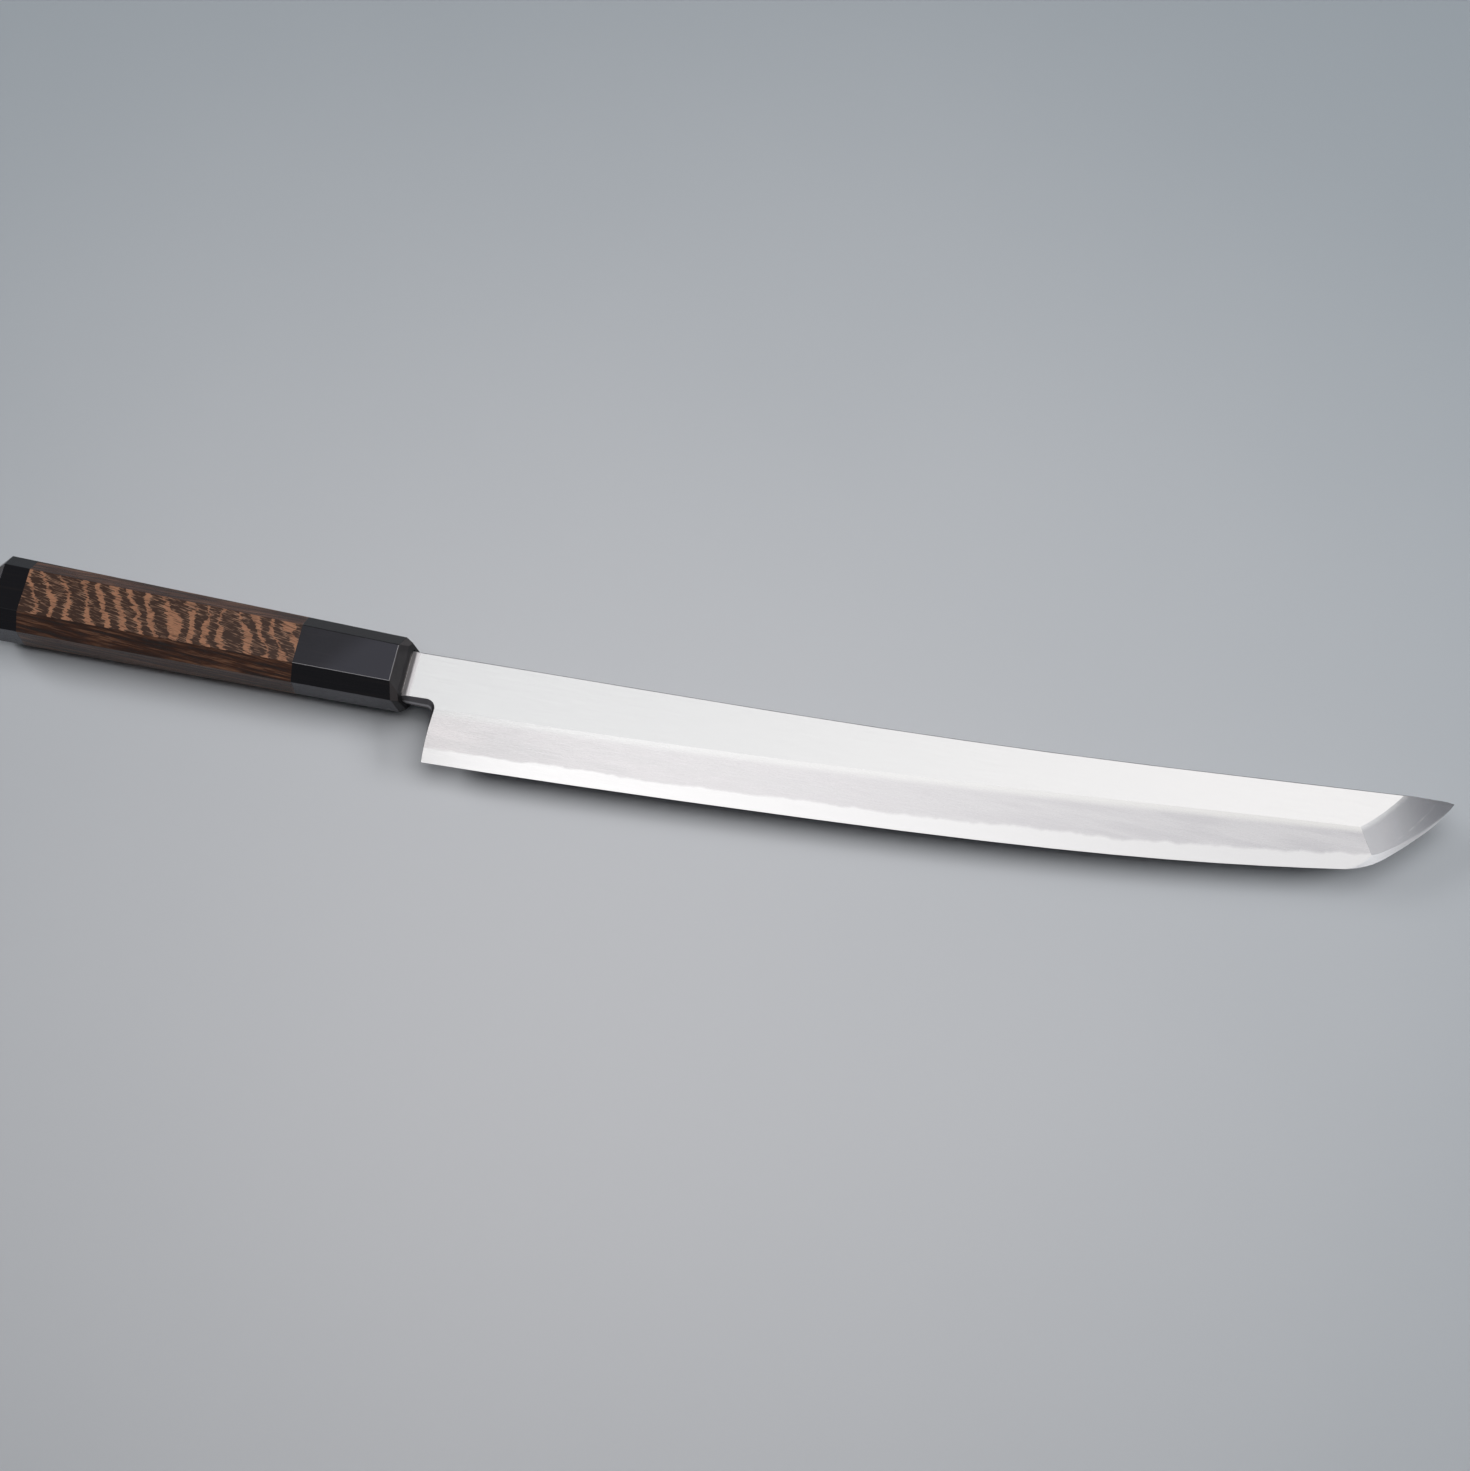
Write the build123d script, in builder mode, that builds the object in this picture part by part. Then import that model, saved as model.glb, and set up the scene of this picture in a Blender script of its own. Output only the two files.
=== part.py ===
from build123d import *
import os
from math import acos, asin, atan, atan2, cos, degrees, radians, sin, sqrt, tan

# A right-handed yanagiba with a clipped, sword-like point, lying on the hollow side of its blade.
# X runs along the knife to the point, Y from cutting edge to spine, Z up.
# The origin is on the handle's lower flat, halfway along the handle.

# Handle: a tapered octagon in three pieces, sizes at its mouth (the blade end) and at its butt
handle_length = 139.5
ferrule_length = 35.3
cap_length = 12.6
mouth_height = 22.3
mouth_thickness = 19.4
mouth_corner = 4.8
butt_height = 25.7
butt_thickness = 22.2
butt_corner = 5.2
arris_radius = 0.5

# Mouth: a front that leans back towards the top, and the line where its eight facets begin.
# The facets' depths start at the upper back flat and go round by the top and the edge side.
mouth_lead = 0.35
mouth_lean = 13.5
facet_setback = 1.5
facet_lean = 9.9
mouth_facet_depths = (1.9, 4.6, 1.9, 1.0, 1.0, 1.0, 1.0, 1.0)
mouth_round = 0.6

# Butt: the facets' depth and length, and the softening of their inner edge
butt_facet_depth = 3.9
butt_facet_length = 3.9
butt_facet_round = 1.6

# Blade outline, measured from the ferrule's front face and the knife's axis
blade_reach = 337.2
spine_at_mouth = 7.95
spine_rise = 17.55
flat_width = 18.25
bevel_width = 17.3
neck_thickness = 4.5
tip_thickness = 2.15
spine_chamfer = 0.35

# The outline's course from ferrule to point, as shares of the sizes above at evenly spaced stations
station_shares = (0, 0.2, 0.4, 0.6, 0.8, 1)
spine_rise_shares = (0, 0.115, 0.237, 0.425, 0.70, 1)
flat_width_shares = (1, 0.967, 0.855, 0.756, 0.696, 0.696)
bevel_width_shares = (1, 0.991, 1.012, 1.029, 0.948, 0.59)
outline_sections = 11

# Point facet: a bevel round an arc whose centre is shifted back along the point's tangent, and the
# steeper strip along the edge that rounds the belly and narrows to nothing at the point
tip_edge_angle = 60
tip_edge_radius = 82.5
tip_bevel_width = 13.5
facet_shift = 5.6
belly_radius = 30
belly_bevel_width = 7.5
belly_bevel_rise = 2.25
belly_share = 0.90

# Hollow on the lower side: the grinding wheel's radius, the flat rim along edge and spine, where
# the hollow begins, is fully deep and ends, and the depth taken off again when the rim is stoned
wheel_radius = 340
edge_rim = 1.6
spine_rim = 1.3
hollow_start = 12.0
hollow_full = 45.0
hollow_end_share = 0.985
stoned_depth = 0.01
hollow_sections = 14

# Hard steel layer: its thickness at the neck and at the point, and its scarfed beginning
steel_at_neck = 1.2
steel_at_tip = 0.75
steel_start = 4.0
steel_scarf = 3.0

# Step of the neck at the ferrule
machi_run = 1.5
machi_round = 1.5

# Choil, the cut between neck and heel. Its wall leans, so it has a lower and an upper outline.
neck_drop = 8.6
neck_lean = 0.85
neck_fall_lower = -0.2
neck_fall_upper = 0.8
choil_reach = 10.05
choil_lean = 1.9
choil_radius = 1.8
choil_radius_gain = 1.4
heel_reach = 11.0
heel_drop = 27.4

# Tang, which reaches into the handle by a share of its length
tang_share = 0.717
tang_width = 12.2
tang_thickness = 3.3
tang_end_width = 6.0
tang_end_thickness = 2.4
tang_point = 6.0
tang_gap = 0.15

# Wooden dowels that hold the handle together, and the glue film round them. The core dowel ends
# at a share of the tang, and the rear dowel begins halfway between the tang's point and the cap.
core_diameter = 14.0
core_share = 0.70
ferrule_web = 8.0
rear_diameter = 9.0
rear_in_cap = 7.5
glue_gap = 0.05
bore_relief = 0.5
dowel_chamfer = 0.6

# Seal round the tang in the ferrule's mouth
seal_wall = 0.9
seal_depth = 2.5

overrun = 3.0

# Sizes that follow from those above
handle_pitch = atan((butt_thickness - mouth_thickness) / 2 / handle_length)
cap_joint = handle_length - cap_length
tang_length = handle_length * tang_share
core_back = tang_length * core_share
rear_front = (tang_length + cap_joint) / 2
rear_back = cap_joint + rear_in_cap
spine_at_tip = spine_at_mouth + spine_rise
half_share = 1 / 2


# Frame of the knife: the handle's axis drops towards the point, which lays its lower flat level.
knife_axis = Plane(
    origin=(handle_length / 2, 0, mouth_thickness / 2 * cos(handle_pitch)),
    x_dir=(cos(handle_pitch), 0, -sin(handle_pitch)),
    z_dir=(sin(handle_pitch), 0, cos(handle_pitch)),
)
blade_base = knife_axis.offset(-neck_thickness / 2)


def handle_section(ahead):
    """Plane square to the knife's axis, ahead of the ferrule's front face."""
    place = knife_axis.from_local_coords((ahead, 0, 0))
    return Plane(origin=place, x_dir=knife_axis.y_dir, z_dir=knife_axis.x_dir)


def blade_section(ahead):
    """Plane square to the knife's axis with its origin at the level of the blade's lower face."""
    place = blade_base.from_local_coords((ahead, 0, 0))
    return Plane(origin=place, x_dir=blade_base.y_dir, z_dir=blade_base.x_dir)


def blade_side():
    """Upright plane through the knife's axis, for profiles seen from the cutting edge."""
    return Plane(origin=blade_base.origin, x_dir=blade_base.x_dir, z_dir=blade_base.y_dir * -1)


def octagon(ahead, inset=0):
    """Corners of the handle's outline at a section, drawn in by an even inset."""
    back_share = -ahead / handle_length
    height = mouth_height + (butt_height - mouth_height) * back_share
    thickness = mouth_thickness + (butt_thickness - mouth_thickness) * back_share
    corner = mouth_corner + (butt_corner - mouth_corner) * back_share
    side = height / 2 - inset
    top = thickness / 2 - inset
    leg = corner - inset * (2 - sqrt(2))
    upper = [(side, top - leg), (side - leg, top), (leg - side, top), (-side, top - leg)]
    return upper + [(-y, -z) for y, z in upper]


def side_planes(front, back, back_inset=0):
    """Eight outward-facing planes, each through one side of the octagon at two sections."""
    front_plane = handle_section(front)
    front_corners = [front_plane.from_local_coords(corner) for corner in octagon(front)]
    back_plane = handle_section(back)
    back_corners = [back_plane.from_local_coords(corner) for corner in octagon(back, back_inset)]
    planes = []
    for number, corner in enumerate(front_corners):
        across = front_corners[(number + 1) % len(front_corners)] - corner
        backward = back_corners[number] - corner
        planes.append(Plane(origin=corner, x_dir=across, z_dir=backward.cross(across)))
    return planes


def front_point(y, z):
    """Point of the mouth's leaning front."""
    return knife_axis.from_local_coords((mouth_lead - z * tan(radians(mouth_lean)), y, z))


def facet_corners():
    """Where the leaning line of the facets' beginning crosses the handle's eight arrises."""
    slope = tan(radians(facet_lean))
    corners = []
    for (front_y, front_z), (back_y, back_z) in zip(octagon(0), octagon(-handle_length)):
        share = (facet_setback + front_z * slope) / (handle_length - (back_z - front_z) * slope)
        y = front_y + (back_y - front_y) * share
        z = front_z + (back_z - front_z) * share
        corners.append(knife_axis.from_local_coords((-share * handle_length, y, z)))
    return corners


def mouth_facets():
    """Outward-facing planes of the eight facets between the handle's flats and the mouth's front."""
    planes = []
    corners = facet_corners()
    for number, depth in enumerate(mouth_facet_depths):
        across = corners[(number + 1) % len(corners)] - corners[number]
        forward = front_point(*octagon(0, depth)[number]) - corners[number]
        planes.append(Plane(origin=corners[number], x_dir=across, z_dir=across.cross(forward)))
    return planes


def tang_size(ahead, gap=0):
    """Width and thickness of the tang at a section, with a gap all round it."""
    share = -ahead / tang_length
    width = tang_width + (tang_end_width - tang_width) * share
    thickness = tang_thickness + (tang_end_thickness - tang_thickness) * share
    return width + 2 * gap, thickness + 2 * gap


def along(values, share):
    """Smooth curve through the values at the stations, read at a share of the blade's reach."""
    total = 0
    for here, value in zip(station_shares, values):
        weight = 1
        for other in station_shares:
            if other != here:
                weight *= (share - other) / (here - other)
        total += weight * value
    return total


def spine_y(share):
    return spine_at_mouth + spine_rise * along(spine_rise_shares, share)


def ridge_y(share):
    return spine_y(share) - flat_width * along(flat_width_shares, share)


def edge_y(share):
    return ridge_y(share) - bevel_width * along(bevel_width_shares, share)


def blade_thickness(share):
    return neck_thickness + (tip_thickness - neck_thickness) * share


def steel_thickness(share):
    return steel_at_neck + (steel_at_tip - steel_at_neck) * share


# Centre of the arc that the point's cutting edge follows
tip_turn = radians(tip_edge_angle)
tip_centre_x = blade_reach - tip_edge_radius * sin(tip_turn)
tip_centre_y = spine_at_tip + tip_edge_radius * cos(tip_turn)
yokote_share = 1 - tip_bevel_width * sin(tip_turn) / blade_reach
tip_bevel_slope = blade_thickness(yokote_share) / tip_bevel_width
facet_centre_x = tip_centre_x - facet_shift * cos(tip_turn)
facet_centre_y = tip_centre_y - facet_shift * sin(tip_turn)

# Centre of the belly's arc, which touches the straight run of the edge and the point's arc
belly_step_share = belly_share / 100
belly_dx = belly_step_share * blade_reach
belly_angle = atan2(edge_y(belly_share + belly_step_share) - edge_y(belly_share), belly_dx)
centre_drop = (tip_centre_x - belly_share * blade_reach) * -sin(belly_angle) + (
    tip_centre_y - edge_y(belly_share)
) * cos(belly_angle)
belly_turn = acos((centre_drop - belly_radius) / (tip_edge_radius - belly_radius))
belly_azimuth = belly_angle - radians(90) + belly_turn
belly_centre_x = tip_centre_x + (tip_edge_radius - belly_radius) * cos(belly_azimuth)
belly_centre_y = tip_centre_y + (tip_edge_radius - belly_radius) * sin(belly_azimuth)


def lower_rim_y(share):
    """Edge side of the hollow: the rim's width in from the cutting edge."""
    x = share * blade_reach
    lean = asin(max(0, x - tip_centre_x) / tip_edge_radius)
    arc_y = tip_centre_y - tip_edge_radius * cos(lean)
    if arc_y > edge_y(share):
        return arc_y + edge_rim / cos(lean)
    return edge_y(share) + edge_rim


def radial_plane(centre_x, centre_y, azimuth):
    """Upright plane through an arc's centre that looks along the arc, with its X outward."""
    outward = blade_base.x_dir * cos(azimuth) + blade_base.y_dir * sin(azimuth)
    place = blade_base.from_local_coords((centre_x, centre_y, 0))
    return Plane(origin=place, x_dir=outward, z_dir=outward.cross(blade_base.z_dir))


# Blade blank: the outline in plan, left too deep on the edge side, times the tapered side view
outline_shares = [number / (outline_sections - 1) for number in range(outline_sections)]
with BuildPart() as blade_forging:
    with BuildSketch(blade_base):
        with BuildLine():
            spine_curve = Spline(*[(share * blade_reach, spine_y(share)) for share in outline_shares])
            spine_end = Line(spine_curve @ 1, spine_curve @ 1 + (spine_curve % 1) * overrun)
            edge_curve = Spline(
                *[(share * blade_reach, edge_y(share) - overrun) for share in outline_shares]
            )
            Polyline(edge_curve @ 1, ((spine_end @ 1).X, (edge_curve @ 1).Y), spine_end @ 1)
            Line(spine_curve @ 0, edge_curve @ 0)
        make_face()
    extrude(amount=neck_thickness)

    blade_end = blade_reach + 2 * overrun
    machi_depth = (neck_thickness - tang_thickness) / 2
    with BuildSketch(blade_side()):
        with BuildLine():
            Polyline(
                (0, machi_depth),
                (machi_run, 0),
                (blade_end, 0),
                (blade_end, blade_thickness(blade_end / blade_reach)),
                (machi_run, blade_thickness(machi_run / blade_reach)),
                (0, neck_thickness - machi_depth),
                close=True,
            )
        make_face()
    extrude(amount=heel_drop + overrun * 2, both=True, mode=Mode.INTERSECT)

    spine_edges = blade_forging.edges().filter_by(lambda edge: edge.length > blade_reach / 2)
    chamfer(spine_edges.sort_by(Axis.Y)[-2:], length=spine_chamfer)

    # Wide bevel from the ridge down to the cutting edge
    for share in station_shares:
        edge = edge_y(share)
        ridge = ridge_y(share)
        rise = blade_thickness(share) / (ridge - edge) * overrun * 2
        with BuildSketch(blade_section(share * blade_reach)):
            Polygon(
                (edge - overrun * 2, -rise),
                (ridge + overrun * 2, blade_thickness(share) + rise),
                (edge - overrun * 2, blade_thickness(share) + rise),
                align=None,
            )
    loft(mode=Mode.SUBTRACT)

    # Facet of the point: a cone round the shifted centre
    facet_inner = tip_bevel_width + overrun
    facet_outer = heel_drop
    facet_turn = radians(90) - tip_turn
    with BuildSketch(radial_plane(facet_centre_x, facet_centre_y, -tip_turn - facet_turn / 2)):
        Polygon(
            (tip_edge_radius - facet_inner, facet_inner * tip_bevel_slope),
            (tip_edge_radius + facet_outer, -facet_outer * tip_bevel_slope),
            (tip_edge_radius + facet_outer, facet_inner * tip_bevel_slope),
            align=None,
        )
    facet_axis = Axis(blade_base.from_local_coords((facet_centre_x, facet_centre_y, 0)), blade_base.z_dir)
    revolve(axis=facet_axis, revolution_arc=tip_edge_angle, mode=Mode.SUBTRACT)

    # Steeper strip along the edge, round the belly's arc and then round the point's
    strips = (
        (belly_centre_x, belly_centre_y, belly_radius, belly_angle - radians(90), degrees(belly_turn)),
        (tip_centre_x, tip_centre_y, tip_edge_radius, belly_azimuth, tip_edge_angle),
    )
    for centre_x, centre_y, radius, azimuth, arc in strips:
        with BuildSketch(radial_plane(centre_x, centre_y, azimuth)):
            Polygon(
                (radius - belly_bevel_width, belly_bevel_rise),
                (radius + belly_bevel_width, -belly_bevel_rise),
                (radius + belly_bevel_width, belly_bevel_rise),
                align=None,
            )
        strip_axis = Axis(blade_base.from_local_coords((centre_x, centre_y, 0)), blade_base.z_dir)
        revolve(axis=strip_axis, revolution_arc=arc, mode=Mode.SUBTRACT)

    # Choil: the wall leans out from the upper outline to the lower one
    for level_share in (-half_share, 1 + half_share):
        neck_y = -neck_drop + neck_lean * level_share
        neck_fall = neck_fall_lower + (neck_fall_upper - neck_fall_lower) * level_share
        corner_x = choil_reach + choil_lean * level_share
        heel_slope = (heel_reach - corner_x) / (heel_drop + neck_y)
        with BuildSketch(blade_base.offset(neck_thickness * level_share)):
            with BuildLine():
                wall = FilletPolyline(
                    (-overrun, neck_y),
                    (corner_x, neck_y + neck_fall),
                    (heel_reach + heel_slope * overrun * 2, -heel_drop - overrun * 2),
                    radius=choil_radius + choil_radius_gain * level_share,
                )
                Polyline(wall @ 1, (-overrun, -heel_drop - overrun * 2), wall @ 0)
            make_face()
    loft(ruled=True, mode=Mode.SUBTRACT)

    # Softened crest of the step at the ferrule, above and below
    across_edges = blade_forging.edges().filter_by(Axis.Y)
    step_crests = across_edges.filter_by(lambda edge: edge.length > neck_drop + spine_chamfer)
    fillet(step_crests.sort_by(Axis.X)[2:4], radius=machi_round)

    # Hollow: a lens of the wheel's radius that sinks out of the steel towards the heel
    for number in range(hollow_sections):
        course_share = number / (hollow_sections - 1)
        ahead = hollow_start + (blade_reach * hollow_end_share - hollow_start) * course_share
        share = ahead / blade_reach
        low = lower_rim_y(share)
        high = spine_y(share) - spine_rim
        middle = (low + high) / 2
        unground_share = max(0, (hollow_full - ahead) / (hollow_full - hollow_start))
        crown = (high - middle) ** 2 / wheel_radius / 2 * (1 - unground_share**2) - stoned_depth
        reach = high - middle + overrun
        drop = wheel_radius - sqrt(wheel_radius**2 - reach**2)
        with BuildSketch(blade_section(ahead)):
            with BuildLine():
                wheel = ThreePointArc(
                    (middle - reach, crown - drop), (middle, crown), (middle + reach, crown - drop)
                )
                Polyline(wheel @ 1, (middle + reach, -overrun), (middle - reach, -overrun), wheel @ 0)
            make_face()
    loft(mode=Mode.SUBTRACT)

    # Tang, with a blunt point for driving it into the handle
    for ahead in (0, -tang_length + tang_point):
        with BuildSketch(handle_section(ahead)):
            Rectangle(*tang_size(ahead))
    loft(ruled=True)
    for ahead in (-tang_length + tang_point, -tang_length):
        width, thickness = tang_size(ahead)
        end_share = half_share if ahead == -tang_length else 1
        with BuildSketch(handle_section(ahead)):
            Rectangle(width * end_share, thickness * end_share)
    loft(ruled=True)

# Steel layer's region in the side view: a thin tapered sheet with a scarfed beginning
with BuildPart() as steel_region:
    with BuildSketch(blade_side()):
        with BuildLine():
            Polyline(
                (steel_start, -overrun),
                (steel_start, 0),
                (steel_start + steel_scarf, steel_thickness(steel_start / blade_reach)),
                (blade_end, steel_thickness(blade_end / blade_reach)),
                (blade_end, -overrun),
                close=True,
            )
        make_face()
    extrude(amount=heel_drop + overrun * 2, both=True)

with BuildPart() as blade_soft_iron:
    add(blade_forging.part)
    add(steel_region.part, mode=Mode.SUBTRACT)

with BuildPart() as blade_edge_steel:
    add(blade_forging.part)
    add(steel_region.part, mode=Mode.INTERSECT)

# Ferrule: eight flats, a facetted and softened mouth, a blind bore, the tang's slot and the seal's pocket
handle_flats = side_planes(0, -handle_length)
mouth_front = Plane(
    origin=front_point(0, 0),
    x_dir=knife_axis.y_dir,
    z_dir=knife_axis.y_dir.cross(front_point(0, mouth_thickness) - front_point(0, 0)),
)
with BuildPart() as ferrule:
    with BuildSketch(handle_section(-ferrule_length)):
        Circle(radius=butt_height)
    extrude(amount=ferrule_length + mouth_thickness)
    for side in handle_flats + mouth_facets() + [mouth_front]:
        split(bisect_by=side, keep=Keep.BOTTOM)
    front_face = ferrule.faces().sort_by(Axis(mouth_front.origin, mouth_front.z_dir))[-1]
    fillet(front_face.edges(), radius=mouth_round)
    joint_edges = ferrule.faces().sort_by(Axis.X)[0].edges()
    arrises = ferrule.edges().filter_by(
        lambda edge: (edge.center() - mouth_front.origin).dot(mouth_front.z_dir) < -mouth_round
    )
    fillet([edge for edge in arrises if edge not in joint_edges], radius=arris_radius)
    with BuildSketch(handle_section(-ferrule_length)):
        Circle(radius=core_diameter / 2 + glue_gap)
    extrude(amount=ferrule_length - ferrule_web + bore_relief, mode=Mode.SUBTRACT)
    for ahead in (overrun, -ferrule_length):
        with BuildSketch(handle_section(ahead)):
            Rectangle(*tang_size(ahead, tang_gap))
    loft(ruled=True, mode=Mode.SUBTRACT)
    with BuildSketch(handle_section(-seal_depth)):
        Rectangle(tang_width + 2 * seal_wall, tang_thickness + 2 * seal_wall)
    extrude(amount=seal_depth + overrun, mode=Mode.SUBTRACT)
    with BuildSketch(handle_section(0)):
        Rectangle(2 * neck_drop + 2 * tang_gap, neck_thickness + 2 * tang_gap)
    extrude(amount=overrun, mode=Mode.SUBTRACT)

# Seal: a resin frame between pocket and tang, flush with the ferrule's face
with BuildPart() as tang_seal:
    with BuildSketch(handle_section(-seal_depth)):
        Rectangle(tang_width + 2 * seal_wall, tang_thickness + 2 * seal_wall)
    extrude(amount=seal_depth)
    for ahead in (overrun, -seal_depth - overrun):
        with BuildSketch(handle_section(ahead)):
            Rectangle(*tang_size(ahead))
    loft(ruled=True, mode=Mode.SUBTRACT)
    split(bisect_by=mouth_front, keep=Keep.BOTTOM)

# Wenge body, bored from both ends, with the slot that takes the tang's end
with BuildPart() as handle_body:
    with BuildSketch(handle_section(-cap_joint)):
        Circle(radius=butt_height)
    extrude(amount=cap_joint - ferrule_length)
    for side in handle_flats:
        split(bisect_by=side, keep=Keep.BOTTOM)
    body_faces = handle_body.faces().sort_by(Axis.X)
    joint_edges = body_faces[0].edges() + body_faces[-1].edges()
    fillet([edge for edge in handle_body.edges() if edge not in joint_edges], radius=arris_radius)
    with BuildSketch(handle_section(-core_back - bore_relief)):
        Circle(radius=core_diameter / 2 + glue_gap)
    extrude(amount=core_back + bore_relief, mode=Mode.SUBTRACT)
    for ahead in (-core_back, -tang_length - bore_relief):
        with BuildSketch(handle_section(ahead)):
            Rectangle(*tang_size(ahead, tang_gap))
    loft(ruled=True, mode=Mode.SUBTRACT)
    with BuildSketch(handle_section(-cap_joint)):
        Circle(radius=rear_diameter / 2 + glue_gap)
    extrude(amount=cap_joint - rear_front + bore_relief, mode=Mode.SUBTRACT)

# End cap: eight flats, a facetted and softened butt and a blind bore
butt_facets = side_planes(-handle_length + butt_facet_length, -handle_length, butt_facet_depth)
with BuildPart() as end_cap:
    with BuildSketch(handle_section(-handle_length)):
        Circle(radius=butt_height)
    extrude(amount=cap_length)
    for side in handle_flats + butt_facets:
        split(bisect_by=side, keep=Keep.BOTTOM)
    fillet(end_cap.faces().sort_by(Axis.X)[0].edges(), radius=butt_facet_round)
    joint_edges = end_cap.faces().sort_by(Axis.X)[-1].edges()
    facet_line = handle_section(butt_facet_length / 3 - handle_length).origin.X
    arrises = end_cap.edges().filter_by(lambda edge: edge.center().X > facet_line)
    fillet([edge for edge in arrises if edge not in joint_edges], radius=arris_radius)
    with BuildSketch(handle_section(-cap_joint)):
        Circle(radius=rear_diameter / 2 + glue_gap)
    extrude(amount=-rear_in_cap - bore_relief, mode=Mode.SUBTRACT)

# Core dowel: slotted from end to end for the tang
with BuildPart() as core_dowel:
    with BuildSketch(handle_section(-core_back)):
        Circle(radius=core_diameter / 2)
    extrude(amount=core_back - ferrule_web)
    chamfer(core_dowel.edges(), length=dowel_chamfer)
    for ahead in (0, -core_back - overrun):
        with BuildSketch(handle_section(ahead)):
            Rectangle(*tang_size(ahead, tang_gap))
    loft(ruled=True, mode=Mode.SUBTRACT)

# Rear dowel between body and end cap
with BuildPart() as rear_dowel:
    with BuildSketch(handle_section(-rear_back)):
        Circle(radius=rear_diameter / 2)
    extrude(amount=rear_back - rear_front)
    chamfer(rear_dowel.edges(), length=dowel_chamfer)

blade_soft_iron.part.label = "blade_soft_iron"
blade_edge_steel.part.label = "blade_edge_steel"
ferrule.part.label = "ferrule"
tang_seal.part.label = "tang_seal"
handle_body.part.label = "handle_body"
end_cap.part.label = "end_cap"
core_dowel.part.label = "core_dowel"
rear_dowel.part.label = "rear_dowel"

os.makedirs("parts", exist_ok=True)
export_step(blade_soft_iron.part, "parts/blade_soft_iron.step")
export_step(blade_edge_steel.part, "parts/blade_edge_steel.step")
export_step(ferrule.part, "parts/ferrule.step")
export_step(tang_seal.part, "parts/tang_seal.step")
export_step(handle_body.part, "parts/handle_body.step")
export_step(end_cap.part, "parts/end_cap.step")
export_step(core_dowel.part, "parts/core_dowel.step")
export_step(rear_dowel.part, "parts/rear_dowel.step")
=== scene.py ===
"""Finishes, studio light and camera for a right-handed yanagiba knife with a clipped point.

The knife lies on the hollow side of its blade. X runs to the point, Y from cutting edge to spine, Z up, in
metres. Most textures are laid out in the knife's own frame in millimetres: ahead of the ferrule's front face,
towards the spine, and above the handle's axis.
"""

import logging
import math
from dataclasses import dataclass, field
from enum import Enum
from typing import Any

import bpy
from mathutils import Matrix, Quaternion, Vector


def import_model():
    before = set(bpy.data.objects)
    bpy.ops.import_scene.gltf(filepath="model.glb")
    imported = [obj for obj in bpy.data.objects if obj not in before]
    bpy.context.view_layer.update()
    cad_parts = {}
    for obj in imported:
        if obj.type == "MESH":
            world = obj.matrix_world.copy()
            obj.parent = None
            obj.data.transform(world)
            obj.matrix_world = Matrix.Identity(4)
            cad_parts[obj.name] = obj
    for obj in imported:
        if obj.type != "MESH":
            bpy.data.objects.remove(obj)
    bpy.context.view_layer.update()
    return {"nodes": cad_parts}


logging.basicConfig(level=logging.INFO, format="%(name)s: %(message)s")
LOG = logging.getLogger("yanagiba")

Triple = tuple[float, float, float]
Span = tuple[float, float]
Colour = Triple
Socket = bpy.types.NodeSocket
Sockets = tuple[Socket, Socket, Socket]

MILLIMETRES = 1000.0

# Handle sizes in millimetres that place the knife's own frame
HANDLE_LENGTH = 139.5
MOUTH_THICKNESS = 19.4
BUTT_THICKNESS = 22.2

# Blade sizes in millimetres that the blade's masks follow
BLADE_REACH = 337.2
NECK_THICKNESS = 4.5
TIP_THICKNESS = 2.15
STEEL_AT_NECK = 1.2
STEEL_AT_TIP = 0.75

# The knife's own frame: how far the handle's axis dips, and where it meets the ferrule's front face
AXIS_PITCH = math.atan((BUTT_THICKNESS - MOUTH_THICKNESS) / 2 / HANDLE_LENGTH)
AXIS_ORIGIN = Vector((HANDLE_LENGTH / 2, 0.0, MOUTH_THICKNESS / 2 * math.cos(AXIS_PITCH))) / MILLIMETRES

# Average of a noise texture, and the numbers of the colour sockets on Blender's Mix node
NOISE_MIDDLE = 0.5
MIX_COLOURS = (6, 7)
MIX_RESULT = 2


class Grind(Enum):
    """Direction in which a stone or belt leaves its hairlines, as stretches along, across and above."""

    ALONG = (0.05, 9.0, 9.0)
    ACROSS = (9.0, 0.25, 0.25)


@dataclass(frozen=True)
class Pattern:
    """A noise texture: its features per unit, its number of finer layers and its stretch in each direction."""

    scale: float = 1.0
    detail: float = 2.0
    stretch: Triple | None = None


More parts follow.
